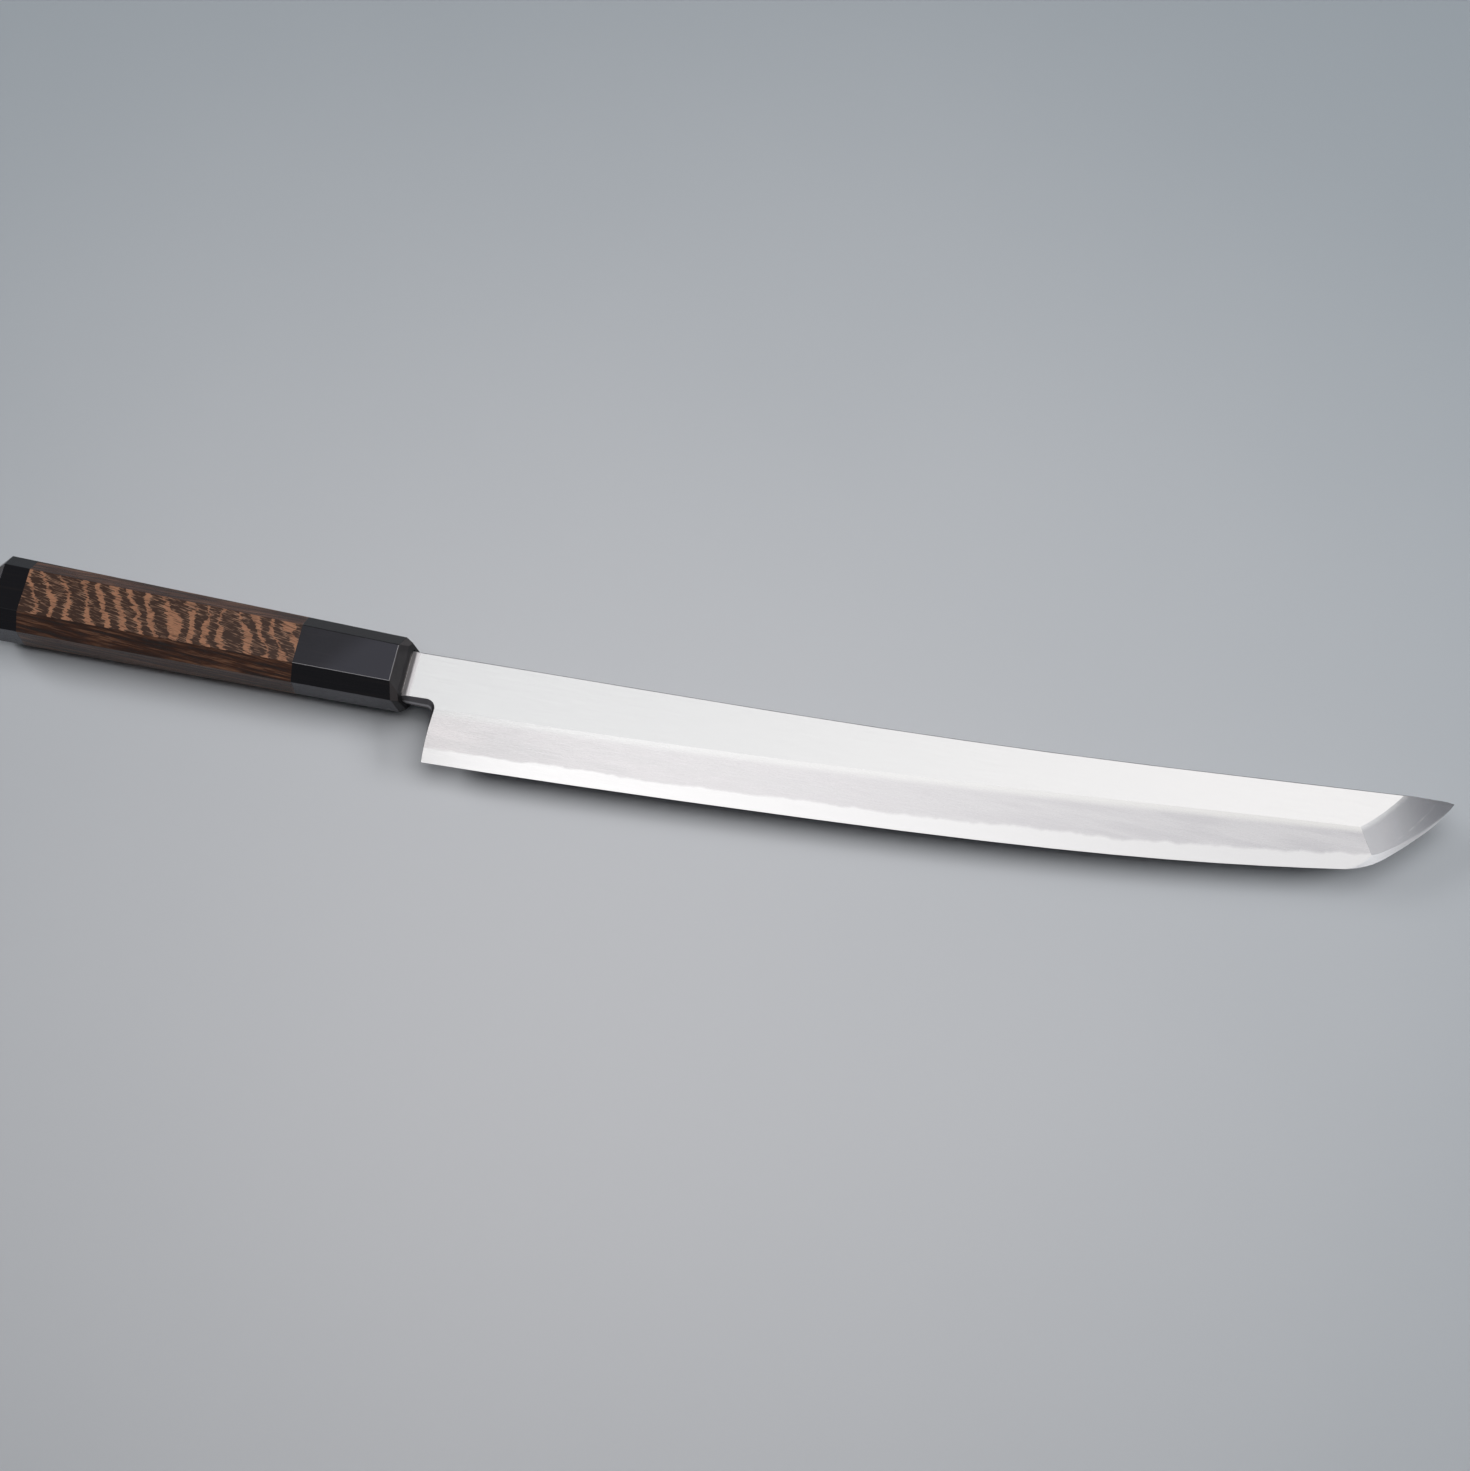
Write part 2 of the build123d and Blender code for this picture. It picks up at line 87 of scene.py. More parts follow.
class Graph:
    """Adds, sets and links the nodes of one node tree."""

    def __init__(self, tree: bpy.types.NodeTree) -> None:
        """Keep the tree that the nodes go into."""
        self.tree = tree

    def node(self, kind: str, inputs: dict[Any, Any] | None = None, **settings: Any) -> bpy.types.Node:
        """Add a node.

        Args:
            kind: Blender's name for the node's type.
            inputs: Values or sockets for its inputs, by name or number.
            **settings: Properties of the node itself.

        Returns:
            The new node.
        """
        made = self.tree.nodes.new(kind)
        for name, value in settings.items():
            setattr(made, name, value)
        for name, value in (inputs or {}).items():
            self.feed(made.inputs[name], value)
        return made

    def feed(self, socket: Socket, value: Any) -> None:
        """Link a socket to another one, or set its plain value.

        Args:
            socket: The input that is fed.
            value: The output to link, or the plain value.
        """
        if isinstance(value, bpy.types.NodeSocket):
            self.tree.links.new(value, socket)
        else:
            socket.default_value = value

    def math(self, operation: str, *values: Any) -> Socket:
        """Combine numbers.

        Args:
            operation: Blender's name for the operation.
            *values: The numbers or sockets, in order.

        Returns:
            The result's socket.
        """
        return self.node("ShaderNodeMath", dict(enumerate(values)), operation=operation).outputs[0]

    def vector(self, operation: str, *values: Any) -> bpy.types.Node:
        """Combine vectors.

        Args:
            operation: Blender's name for the operation.
            *values: The vectors or sockets, in order.

        Returns:
            The node, whose first output is a vector and whose Value is a length.
        """
        return self.node("ShaderNodeVectorMath", dict(enumerate(values)), operation=operation)

    def parts(self, vector: Socket) -> Sockets:
        """Split a vector into its three numbers."""
        return tuple(self.node("ShaderNodeSeparateXYZ", {0: vector}).outputs)

    def joined(self, *numbers: Any) -> Socket:
        """Join three numbers into a vector."""
        return self.node("ShaderNodeCombineXYZ", dict(enumerate(numbers))).outputs[0]

    def facing(self) -> Sockets:
        """Read the three parts of the surface's direction: forward, sideways and upward."""
        return self.parts(self.node("ShaderNodeNewGeometry").outputs["Normal"])

    def step(self, value: Any, span: Span, result: Span = (0.0, 1.0)) -> Socket:
        """Ease a number from one level to another.

        Args:
            value: The number or socket that is read.
            span: Where the change begins and where it ends.
            result: The result up to its beginning and from its end.

        Returns:
            The eased number's socket.
        """
        low, high = span
        start, end = result
        inputs = {"Value": value, "From Min": low, "From Max": high, "To Min": start, "To Max": end}
        return self.node("ShaderNodeMapRange", inputs, interpolation_type="SMOOTHSTEP").outputs[0]

    def blend(self, share: Any, first: Any, second: Any) -> Socket:
        """Mix two colours.

        Args:
            share: How much of the second colour shows.
            first: A colour or socket.
            second: A colour or socket.

        Returns:
            The mixed colour's socket.
        """
        made = self.node("ShaderNodeMix", {0: share}, data_type="RGBA")
        for number, colour in zip(MIX_COLOURS, (first, second)):
            self.feed(made.inputs[number], (*colour, 1.0) if isinstance(colour, tuple) else colour)
        return made.outputs[MIX_RESULT]

    def noise(self, place: Socket, pattern: Pattern) -> Socket:
        """Read a noise texture.

        Args:
            place: The vector at which it is read.
            pattern: The texture's scale, detail and stretch.

        Returns:
            The noise value's socket.
        """
        if pattern.stretch is not None:
            place = self.vector("MULTIPLY", place, pattern.stretch).outputs[0]
        inputs = {"Vector": place, "Scale": pattern.scale, "Detail": pattern.detail}
        return self.node("ShaderNodeTexNoise", inputs).outputs[0]

    def ripple(self, place: Socket, pattern: Pattern) -> Socket:
        """Read a noise texture as a number that swings about 0."""
        return self.math("SUBTRACT", self.noise(place, pattern), NOISE_MIDDLE)

    def use(self, group: bpy.types.NodeTree, **inputs: Any) -> bpy.types.Node:
        """Add a shared node group.

        Args:
            group: The group's tree.
            **inputs: Values or sockets by input name.

        Returns:
            The group's node.
        """
        return self.node("ShaderNodeGroup", inputs, node_tree=group)


class SharedGroup:
    """A node group that several finishes use, built once."""

    def __init__(self, name: str, inputs: dict[str, float], outputs: dict[str, str]) -> None:
        """Make the group's shell.

        Args:
            name: The group's name.
            inputs: Its number inputs with their usual values.
            outputs: Its outputs with their kinds, such as Float or Vector.
        """
        self.tree = bpy.data.node_groups.new(name, "ShaderNodeTree")
        for label, usual in inputs.items():
            made = self.tree.interface.new_socket(label, in_out="INPUT", socket_type="NodeSocketFloat")
            made.default_value = usual
        for label, kind in outputs.items():
            self.tree.interface.new_socket(label, in_out="OUTPUT", socket_type=f"NodeSocket{kind}")
        self.graph = Graph(self.tree)
        self.given = self.graph.node("NodeGroupInput").outputs
        self.wanted = self.graph.node("NodeGroupOutput").inputs

    def give(self, label: str, value: Socket) -> None:
        """Send a value to one of the outputs."""
        self.graph.feed(self.wanted[label], value)


@dataclass(frozen=True)
class KnifePlace:
    """The group that gives a point's place in the knife's own frame."""

    scale: Triple = (MILLIMETRES, MILLIMETRES, MILLIMETRES)

    def build(self) -> bpy.types.NodeTree:
        """Build the group.

        Returns:
            A group with a place as its one output.
        """
        group = SharedGroup("knife_place", {}, {"Place": "Vector"})
        here = group.graph.node("ShaderNodeTexCoord").outputs["Object"]
        from_origin = group.graph.vector("SUBTRACT", here, tuple(AXIS_ORIGIN)).outputs[0]
        inputs = {"Vector": from_origin, "Rotation": (0.0, -AXIS_PITCH, 0.0), "Scale": self.scale}
        group.give("Place", group.graph.node("ShaderNodeMapping", inputs).outputs[0])
        return group.tree


@dataclass(frozen=True)
class StoneHairlines:
    """The group of fine parallel scratches."""

    detail: float = 3.0
    contrast: Span = (0.3, 0.7)

    def build(self, place: bpy.types.NodeTree) -> bpy.types.NodeTree:
        """Build the group.

        Args:
            place: The group that gives a point's place.

        Returns:
            A group with the scratches of each grind, from 0 to 1.
        """
        outputs = {grind.name.title(): "Float" for grind in Grind}
        group = SharedGroup("stone_hairlines", {"Scale": 1.0}, outputs)
        graph = group.graph
        scaled = graph.vector("SCALE", graph.use(place).outputs["Place"])
        graph.feed(scaled.inputs["Scale"], group.given["Scale"])
        for grind in Grind:
            lines = graph.noise(scaled.outputs[0], Pattern(detail=self.detail, stretch=grind.value))
            group.give(grind.name.title(), graph.step(lines, self.contrast))
        return group.tree


@dataclass(frozen=True)
class BladeZones:
    """The group of masks for the ground surfaces of the blade.

    The first spans are read from the surface's direction: upward for top, strip, under and wall, forward for
    facet, and sideways for slope. The spans of steel, glow and step are in millimetres.
    """

    top: Span = (0.7, 0.8)
    facet: Span = (0.05, 0.08)
    slope: Span = (-0.06, -0.1)
    strip: Span = (0.972, 0.964)
    under: Span = (-0.7, -0.8)
    wall: Span = (0.6, 0.45)
    steel: Span = (0.09, -0.09)
    glow: Span = (0.16, 0.0)
    step: Span = (3.1, 1.9)
    slow: Pattern = Pattern(0.028, 1.0, (1.0, 0.2, 0.2))
    quick: Pattern = Pattern(0.19, 3.0, (1.0, 0.4, 0.4))
    wander: float = 0.42

    def build(self, place: bpy.types.NodeTree) -> bpy.types.NodeTree:
        """Build the group.

        Args:
            place: The group that gives a point's place.

        Returns:
            A group with masks for the wide bevel, the point's facet and the steeper strip along its edge,
            the hollow side, the hard steel below its wavy boundary, the soft glow along that boundary, the
            step at the ferrule and the upright walls, and the shares of the way to the point and of the
            blade's thickness.
        """
        names = ("Bevel", "Facet", "Strip", "Under", "Steel", "Boundary", "Step", "Wall", "Reach", "Rise")
        group = SharedGroup("blade_zones", {}, {name: "Float" for name in names})
        graph = group.graph
        here = graph.use(place).outputs["Place"]
        ahead, _, above = graph.parts(here)
        forward, sideways, upward = graph.facing()
        top = graph.step(upward, self.top)
        facet = graph.math("MULTIPLY", graph.step(forward, self.facet), top)
        sloped = graph.math("MULTIPLY", graph.step(sideways, self.slope), top)
        reach = graph.math("DIVIDE", ahead, BLADE_REACH)
        height = graph.math("ADD", above, NECK_THICKNESS / 2)
        level = graph.math("MULTIPLY_ADD", reach, STEEL_AT_TIP - STEEL_AT_NECK, STEEL_AT_NECK)
        swing = graph.math("ADD", graph.ripple(here, self.slow), graph.ripple(here, self.quick))
        boundary = graph.math("MULTIPLY_ADD", swing, self.wander, level)
        over = graph.math("SUBTRACT", height, boundary)
        thickness = graph.math("MULTIPLY_ADD", reach, TIP_THICKNESS - NECK_THICKNESS, NECK_THICKNESS)
        group.give("Bevel", graph.math("MULTIPLY", sloped, graph.math("SUBTRACT", 1.0, facet)))
        group.give("Facet", facet)
        group.give("Strip", graph.math("MULTIPLY", facet, graph.step(upward, self.strip)))
        group.give("Under", graph.step(upward, self.under))
        group.give("Steel", graph.step(over, self.steel))
        group.give("Boundary", graph.step(graph.math("ABSOLUTE", over), self.glow))
        group.give("Step", graph.step(ahead, self.step))
        group.give("Wall", graph.step(graph.math("ABSOLUTE", upward), self.wall))
        group.give("Reach", reach)
        group.give("Rise", graph.math("DIVIDE", height, thickness))
        return group.tree


@dataclass(frozen=True)
class HandPolish:
    """The group of uneven hand polish for horn and wood."""

    cloudy: Pattern = Pattern(0.12, 3.0)
    rubbed: Pattern = Pattern(stretch=(0.3, 6.0, 6.0))
    cloudy_roughness: float = 0.12
    rubbed_roughness: float = 0.08
    cloudy_height: float = 2.0

    def build(self, place: bpy.types.NodeTree) -> bpy.types.NodeTree:
        """Build the group.

        Args:
            place: The group that gives a point's place.

        Returns:
            A group with a roughness offset and a bump height of cloudy patches and faint rub marks.
        """
        group = SharedGroup("hand_polish", {}, {"Roughness": "Float", "Height": "Float"})
        graph = group.graph
        here = graph.use(place).outputs["Place"]
        cloudy = graph.ripple(here, self.cloudy)
        rubbed = graph.ripple(here, self.rubbed)
        patches = graph.math("MULTIPLY", cloudy, self.cloudy_roughness)
        group.give("Roughness", graph.math("MULTIPLY_ADD", rubbed, self.rubbed_roughness, patches))
        group.give("Height", graph.math("MULTIPLY_ADD", cloudy, self.cloudy_height, rubbed))
        return group.tree


@dataclass(frozen=True)
class Effects:
    """The node groups that the finishes share."""

    place: bpy.types.NodeTree
    hairlines: bpy.types.NodeTree
    zones: bpy.types.NodeTree
    polish: bpy.types.NodeTree

    @classmethod
    def build(cls) -> "Effects":
        """Build every group, each once."""
        place = KnifePlace().build()
        return cls(place, StoneHairlines().build(place), BladeZones().build(place), HandPolish().build(place))


@dataclass(frozen=True)
class Finish:
    """What every finish has: the shared effects and the material's name."""

    effects: Effects
    name: str

    def start(self) -> tuple[bpy.types.Material, Graph, bpy.types.Node]:
        """Make an empty node material.

        Returns:
            The material, its graph and its Principled shader, which is linked to the output.
        """
        material = bpy.data.materials.new(self.name)
        material.use_nodes = True
        material.node_tree.nodes.clear()
        graph = Graph(material.node_tree)
        shader = graph.node("ShaderNodeBsdfPrincipled")
        graph.node("ShaderNodeOutputMaterial", {0: shader.outputs[0]})
        return material, graph, shader

    def place(self, graph: Graph) -> Socket:
        """Read the point's place in the knife's own frame, in millimetres."""
        return graph.use(self.effects.place).outputs["Place"]

    def bump(self, graph: Graph, shader: bpy.types.Node, height: Socket, depth: float) -> None:
        """Give the shader a bump.

        Args:
            graph: The material's graph.
            shader: The Principled shader.
            height: The height from 0 to 1.
            depth: What a height of 1 measures, in metres.
        """
        inputs = {"Height": height, "Distance": depth, "Strength": 1.0}
        graph.feed(shader.inputs["Normal"], graph.node("ShaderNodeBump", inputs).outputs[0])


@dataclass(frozen=True)
class StoneGroundSteel(Finish):
    """Bright flat, hazy iron, bright hard steel and polished point facet, for both blade layers.

    The runs are shares of the way to the point, and the rises are shares of the blade's thickness.
    """

    # Painted light and shade: the flat, iron and steel tones change from heel to point, and the iron is lighter
    # by the choil, following how the lamps light the blade
    flat_heel: Colour = (0.417, 0.416, 0.415)
    flat_point: Colour = (0.464, 0.455, 0.450)
    flat_run: Span = (0.0, 0.9)
    iron_choil: Colour = (0.565, 0.538, 0.537)
    iron_heel: Colour = (0.487, 0.47, 0.472)
    iron_point: Colour = (0.314, 0.306, 0.314)
    choil_run: Span = (0.04, 0.11)
    iron_run: Span = (0.1, 0.95)
    steel_heel: Colour = (0.558, 0.548, 0.544)
    steel_point: Colour = (0.397, 0.39, 0.39)
    steel_run: Span = (0.0, 0.95)
    # Painted highlight: a lighter band on the bevel just below the ridge, where the lamp catches it
    ridge_highlight_heel: Colour = (0.53, 0.524, 0.519)
    ridge_highlight_point: Colour = (0.422, 0.414, 0.404)
    ridge_highlight_run: Span = (0.1, 0.9)
    ridge_highlight_rise: Span = (0.82, 0.97)
    # Painted light and shade on the point's facet: darker towards the tip, with a painted highlight along its
    # top by the ridge
    facet_inner: Colour = (0.285, 0.284, 0.293)
    facet_tip: Colour = (0.23, 0.231, 0.245)
    facet_highlight: Colour = (0.40, 0.40, 0.40)
    facet_run: Span = (0.93, 0.99)
    facet_highlight_rise: Span = (0.86, 1.0)
    # Painted highlight: the steep strip along the point's edge is lighter than the steel beside it, dimming
    # towards the tip
    strip: Colour = (0.50, 0.50, 0.512)
    strip_tip: Colour = (0.31, 0.31, 0.318)
    strip_run: Span = (0.92, 0.97)
    hollow: Colour = (0.34, 0.34, 0.345)
    step: Colour = (0.64, 0.61, 0.61)
    # Painted shade and highlight on the upright walls of the neck and choil: the dark colour stands in for the
    # dark surroundings they reflect, and a light line low on them is a painted glint
    wall: Colour = (0.12, 0.115, 0.12)
    wall_glint: Colour = (0.36, 0.35, 0.36)
    wall_glint_top: Span = (0.42, 0.30)
    wall_glint_foot: Span = (0.1, 0.2)
    cloud: Pattern = Pattern(0.5, 3.0, (0.06, 0.6, 0.6))
    cloud_span: Span = (0.35, 0.65)
    cloud_share: float = 0.22
    glow_share: float = 0.35
    roughness: float = 0.17
    hazy_roughness: float = 0.08
    hollow_roughness: float = 0.1
    line_roughness: float = 0.06
    wall_roughness: float = 0.2
    step_roughness: float = 0.3
    line_height: float = 0.5
    bump_depth: float = 0.000004

    def make(self) -> bpy.types.Material:
        """Build the material.

        Returns:
            The finished material.
        """
        material, graph, shader = self.start()
        zones = graph.use(self.effects.zones).outputs
        lines = graph.use(self.effects.hairlines, Scale=1.0).outputs
        graph.feed(shader.inputs["Base Color"], self.colour(graph, zones))
        graph.feed(shader.inputs["Roughness"], self.sheen(graph, zones, lines))
        shader.inputs["Metallic"].default_value = 1.0
        across = graph.math("MULTIPLY", lines["Across"], zones["Under"])
        height = graph.math("MULTIPLY_ADD", lines["Along"], self.line_height, across)
        self.bump(graph, shader, height, self.bump_depth)
        return material

    def colour(self, graph: Graph, zones: Any) -> Socket:
        """Put each zone's tone where its mask lies.

        Args:
            graph: The material's graph.
            zones: The outputs of the blade's masks.

        Returns:
            The colour's socket.
        """
        reach, rise = zones["Reach"], zones["Rise"]
        cloud = graph.noise(self.place(graph), self.cloud)
        # Painted light and shade along the blade: the tones below change from heel to point
        flat = graph.blend(graph.step(reach, self.flat_run), self.flat_heel, self.flat_point)
        iron = graph.blend(graph.step(reach, self.choil_run), self.iron_choil, self.iron_heel)
        iron = graph.blend(graph.step(reach, self.iron_run), iron, self.iron_point)
        iron = graph.blend(graph.step(cloud, self.cloud_span, (0.0, self.cloud_share)), iron, flat)
        # Painted highlight just below the ridge
        ridge_highlight = graph.blend(graph.step(reach, self.ridge_highlight_run), self.ridge_highlight_heel, self.ridge_highlight_point)
        iron = graph.blend(graph.step(rise, self.ridge_highlight_rise), iron, ridge_highlight)
        hard = graph.blend(graph.step(reach, self.steel_run), self.steel_heel, self.steel_point)
        glowing = graph.blend(graph.math("MULTIPLY", zones["Boundary"], self.glow_share), iron, hard)
        colour = graph.blend(zones["Bevel"], flat, graph.blend(zones["Steel"], glowing, hard))
        # Painted shade towards the tip, and a painted highlight along the facet's top
        facet = graph.blend(graph.step(reach, self.facet_run), self.facet_inner, self.facet_tip)
        facet = graph.blend(graph.step(rise, self.facet_highlight_rise), facet, self.facet_highlight)
        # Painted highlight on the strip along the point's edge
        strip = graph.blend(graph.step(reach, self.strip_run), self.strip, self.strip_tip)
        colour = graph.blend(zones["Facet"], colour, graph.blend(zones["Strip"], facet, strip))
        colour = graph.blend(zones["Under"], colour, self.hollow)
        colour = graph.blend(zones["Step"], colour, self.step)
        # Painted shade on the upright walls, with a painted glint low on them
        below, above = graph.step(rise, self.wall_glint_top), graph.step(rise, self.wall_glint_foot)
        wall = graph.blend(graph.math("MULTIPLY", below, above), self.wall, self.wall_glint)
        return graph.blend(zones["Wall"], colour, wall)

    def sheen(self, graph: Graph, zones: Any, lines: Any) -> Socket:
        """Make each zone as smooth as its stone left it.

        Args:
            graph: The material's graph.
            zones: The outputs of the blade's masks.
            lines: The outputs of the hairlines.

        Returns:
            The roughness's socket.
        """
        hazy = graph.math("MULTIPLY", zones["Bevel"], graph.math("SUBTRACT", 1.0, zones["Steel"]))
        rough = graph.math("MULTIPLY_ADD", hazy, self.hazy_roughness, self.roughness)
        rough = graph.math("MULTIPLY_ADD", zones["Under"], self.hollow_roughness, rough)
        rough = graph.math("MULTIPLY_ADD", lines["Along"], self.line_roughness, rough)
        rough = graph.math("MULTIPLY_ADD", zones["Wall"], self.wall_roughness, rough)
        return graph.math("MULTIPLY_ADD", zones["Step"], self.step_roughness, rough)


@dataclass(frozen=True)
class PolishedHorn(Finish):
    """Black buffalo horn with faint lengthwise fibres, and duller sanded end grain.

    The spans are read from the surface's direction, apart from the painted reflection's run, which is in
    millimetres along the knife on a slant, and the fibres' span.
    """

    index: float = 1.31
    sheen_tint: Colour = (0.86, 0.86, 1.0)
    black: Colour = (0.0062, 0.0056, 0.0054)
    fibre: Colour = (0.012, 0.0095, 0.0085)
    fibres: Pattern = Pattern(1.0, 4.0, (0.05, 0.9, 0.9))
    fibre_span: Span = (0.5, 0.8)
    # Painted reflection: a paler grey on the level top faces near the mouth, in a slanted run, stands in for the
    # lamp's reflection
    lamp_reflection: Colour = (0.026, 0.0255, 0.031)
    reflection_run: Span = (-26.0, -14.0)
    reflection_slant: float = -0.8
    level: Span = (0.97, 0.99)
    # Painted light: the upright sides are lighter for the light that the table throws onto them
    side: Colour = (0.061, 0.059, 0.068)
    side_turn: Span = (0.85, 0.95)
    end_grain: Colour = (0.052, 0.046, 0.045)
    end_turn: Span = (0.3, 0.45)
    end_rise: Span = (0.1, 0.3)
    # Faces that look along the knife are kept black as painted shade
    face_turn: Span = (0.85, 0.93)
    # Painted highlight: a light colour on the rounded arrises along the top faces, standing in for the lamp's
    # glint there
    arris_highlight: Colour = (0.38, 0.37, 0.38)
    highlight_top: Span = (0.999, 0.99)
    highlight_foot: Span = (0.91, 0.95)
    highlight_side: Span = (0.12, 0.05)
    roughness: float = 0.13
    end_roughness: float = 0.05
    face_roughness: float = 0.4
    bump_depth: float = 0.00001

    def make(self) -> bpy.types.Material:
        """Build the material.

        Returns:
            The finished material.
        """
        material, graph, shader = self.start()
        here = self.place(graph)
        ahead, across, _ = graph.parts(here)
        forward, sideways, upward = graph.facing()
        forward = graph.math("ABSOLUTE", forward)
        colour = graph.blend(graph.step(graph.noise(here, self.fibres), self.fibre_span), self.black, self.fibre)
        # Painted reflection of the lamp on the level top faces near the mouth
        reflection_share = graph.step(graph.math("MULTIPLY_ADD", across, self.reflection_slant, ahead), self.reflection_run)
        reflection_share = graph.math("MULTIPLY", reflection_share, graph.step(upward, self.level))
        colour = graph.blend(reflection_share, colour, self.lamp_reflection)
        # Painted light on the upright sides
        colour = graph.blend(graph.step(graph.math("ABSOLUTE", sideways), self.side_turn), colour, self.side)
        ends = graph.math("MULTIPLY", graph.step(forward, self.end_turn), graph.step(upward, self.end_rise))
        face = graph.step(forward, self.face_turn)
        colour = graph.blend(ends, colour, self.end_grain)
        # Painted shade: faces that look along the knife, end grain too, are kept black
        colour = graph.blend(face, colour, self.black)
        # Painted highlight on the top arrises
        arris = graph.math("MULTIPLY", graph.step(upward, self.highlight_top), graph.step(upward, self.highlight_foot))
        arris = graph.math("MULTIPLY", arris, graph.step(sideways, self.highlight_side))
        graph.feed(shader.inputs["Base Color"], graph.blend(arris, colour, self.arris_highlight))
        polish = graph.use(self.effects.polish).outputs
        rough = graph.math("ADD", polish["Roughness"], self.roughness)
        rough = graph.math("MULTIPLY_ADD", ends, self.end_roughness, rough)
        graph.feed(shader.inputs["Roughness"], graph.math("MULTIPLY_ADD", face, self.face_roughness, rough))
        shader.inputs["IOR"].default_value = self.index
        shader.inputs["Specular Tint"].default_value = (*self.sheen_tint, 1.0)
        self.bump(graph, shader, polish["Height"], self.bump_depth)
        return material


@dataclass(frozen=True)
class PolishedWenge(Finish):
    """Wenge cut so that its layers cross the top face in toothed bands and run lengthwise on the sides.

    Slants and depths are in millimetres, and band_turn is the bands' phase in radians per millimetre.
    """

    dark: Colour = (0.045, 0.018, 0.009)
    dark_red: Colour = (0.042, 0.012, 0.004)
    tan: Colour = (0.43, 0.205, 0.115)
    dash: Colour = (0.37, 0.205, 0.13)
    vessel: Colour = (0.018, 0.010, 0.008)
    side_turn: Span = (0.3, 0.6)
    pores: Pattern = Pattern(1.0, 1.0, (0.4, 7.0, 7.0))
    pore_span: Span = (0.6, 0.7)
    pore_share: float = 0.5
    pore_depth: float = 1.5
    roughness: float = 0.34
    gloss: float = 0.25
    oil: float = 0.08
    oil_roughness: float = 0.2
    bump_depth: float = 0.00003

    teeth: Pattern = Pattern(1.0, 3.0, (0.25, 1.2, 1.2))
    tooth_depth: float = 4.5
    sway: Pattern = Pattern(0.09, 1.0)
    sway_depth: float = 10.0
    band_slant: float = 0.42
    band_dip: float = 1.5
    band_turn: float = 1.1
    width: Pattern = Pattern(0.13, 1.0)
    width_span: Span = (0.35, 0.65)
    width_range: Span = (0.05, 0.8)
    band_edge: Span = (0.0, 0.25)
    dashes: Pattern = Pattern(1.0, 1.0, (0.30, 2.6, 2.6))
    dash_slant: float = 0.18
    dash_span: Span = (0.545, 0.61)
    dash_layer: Span = (-1.0, 0.4)
    dash_range: Span = (0.35, 1.0)
    cut_span: Span = (0.32, 0.46)
    cut_range: Span = (0.3, 1.0)
    patches: Pattern = Pattern(0.3, 2.0)
    patch_span: Span = (0.35, 0.55)
    patch_range: Span = (0.75, 1.08)

    streaks: Pattern = Pattern(1.0, 3.0, (0.03, 0.9, 0.9))
    streak_slant: float = 0.10
    streak_span: Span = (0.42, 0.7)
    shadow_span: Span = (0.5, 0.3)
    fine: Pattern = Pattern(1.0, 2.0, (0.05, 3.6, 3.6))
    fine_span: Span = (0.35, 0.6)
    side_share: float = 0.5

    def make(self) -> bpy.types.Material:
        """Build the material.

        Returns:
            The finished material.
        """
        material, graph, shader = self.start()
        here = self.place(graph)
        _, sideways, _ = graph.facing()
        turned = graph.step(graph.math("ABSOLUTE", sideways), self.side_turn)
        wood = graph.blend(turned, self.top_figure(graph, here), self.side_figure(graph, here))
        pores = graph.step(graph.noise(here, self.pores), self.pore_span)
        colour = graph.blend(graph.math("MULTIPLY", pores, self.pore_share), wood, self.vessel)
        graph.feed(shader.inputs["Base Color"], colour)
        polish = graph.use(self.effects.polish).outputs
        graph.feed(shader.inputs["Roughness"], graph.math("ADD", polish["Roughness"], self.roughness))
        shader.inputs["Specular IOR Level"].default_value = self.gloss
        shader.inputs["Coat Weight"].default_value = self.oil
        shader.inputs["Coat Roughness"].default_value = self.oil_roughness
        grain = graph.math("MULTIPLY_ADD", pores, -self.pore_depth, polish["Height"])
        self.bump(graph, shader, grain, self.bump_depth)
        return material

    def top_figure(self, graph: Graph, here: Socket) -> Socket:
        """Draw the toothed bands that cross the flat-sawn top.

        Args:
            graph: The material's graph.
            here: The place in millimetres.

        Returns:
            The colour's socket.
        """
        ahead, across, above = graph.parts(here)
        course = graph.math("MULTIPLY_ADD", across, self.band_slant, ahead)
        course = graph.math("MULTIPLY_ADD", above, self.band_dip, course)
        course = graph.math("MULTIPLY_ADD", graph.ripple(here, self.teeth), self.tooth_depth, course)
        course = graph.math("MULTIPLY_ADD", graph.ripple(here, self.sway), self.sway_depth, course)
        layer = graph.math("SINE", graph.math("MULTIPLY", course, self.band_turn))
        width = graph.step(graph.noise(here, self.width), self.width_span, self.width_range)
        band = graph.step(graph.math("SUBTRACT", layer, width), self.band_edge)
        slanted = graph.math("MULTIPLY_ADD", ahead, self.dash_slant, across)
        dashes = graph.noise(graph.joined(ahead, slanted, above), self.dashes)
        fleck = graph.step(layer, self.dash_layer, self.dash_range)
        fleck = graph.math("MULTIPLY", graph.step(dashes, self.dash_span), fleck)
        between = graph.blend(fleck, self.dark, self.dash)
        light = graph.math("MULTIPLY", band, graph.step(dashes, self.cut_span, self.cut_range))
        patches = graph.step(graph.noise(here, self.patches), self.patch_span, self.patch_range)
        return graph.blend(graph.math("MULTIPLY", light, patches), between, self.tan)

